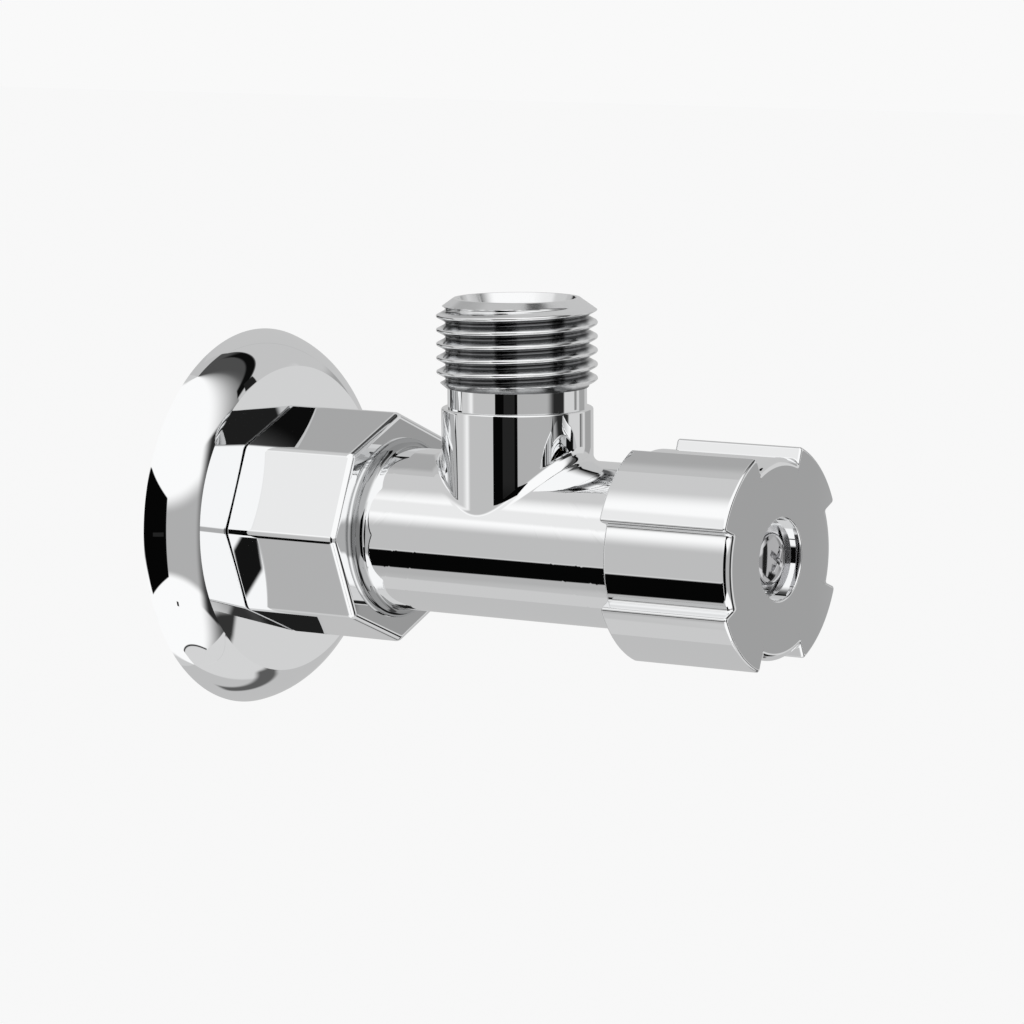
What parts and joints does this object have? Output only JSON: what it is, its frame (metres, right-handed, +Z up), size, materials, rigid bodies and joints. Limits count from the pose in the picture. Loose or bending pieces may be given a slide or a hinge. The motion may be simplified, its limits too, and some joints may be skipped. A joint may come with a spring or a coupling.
{
  "type": "angle shut-off valve",
  "caption": "Quarter-turn angle shut-off valve with threaded inlet, octagon, wall cover, threaded outlet and lobed round knob.",
  "frame": {"origin": "on the inlet axis in the plane of the wall, at the inner end of the inlet thread", "axes": "+X out of the wall along the inlet and spindle axis towards the knob, +Z up along the outlet axis"},
  "size_m": [0.0905, 0.0504, 0.0565],
  "materials": {
    "polished_chrome": "bright polished chrome plating",
    "turned_brass": "machined brass",
    "bright_steel": "bright steel",
    "nylon": "satin moulded plastic",
    "ceramic": "lapped white ceramic",
    "seal_rubber": "matt black rubber"
  },
  "bodies": {
    "valve": {"valve_body": "polished_chrome", "wall_escutcheon": "polished_chrome", "inlet_strainer": "nylon", "cartridge_housing": "turned_brass", "housing_o_ring": "seal_rubber", "seat_seal": "seal_rubber", "seal_support_ring": "nylon", "fixed_disc": "ceramic", "thrust_washer": "nylon"},
    "knob": {"handle": "polished_chrome", "handle_screw": "bright_steel", "screw_washer": "bright_steel", "spindle": "turned_brass", "moving_disc": "ceramic", "spindle_o_ring_rear": "seal_rubber", "spindle_o_ring_front": "seal_rubber", "retaining_clip": "bright_steel"}
  },
  "joints": [
    {"name": "handle_turn", "type": "hinge", "parent": "valve", "child": "knob", "pos_m": [0.0645, 0, 0], "axis": [1, 0, 0], "range_deg": [0, 90]}
  ]
}
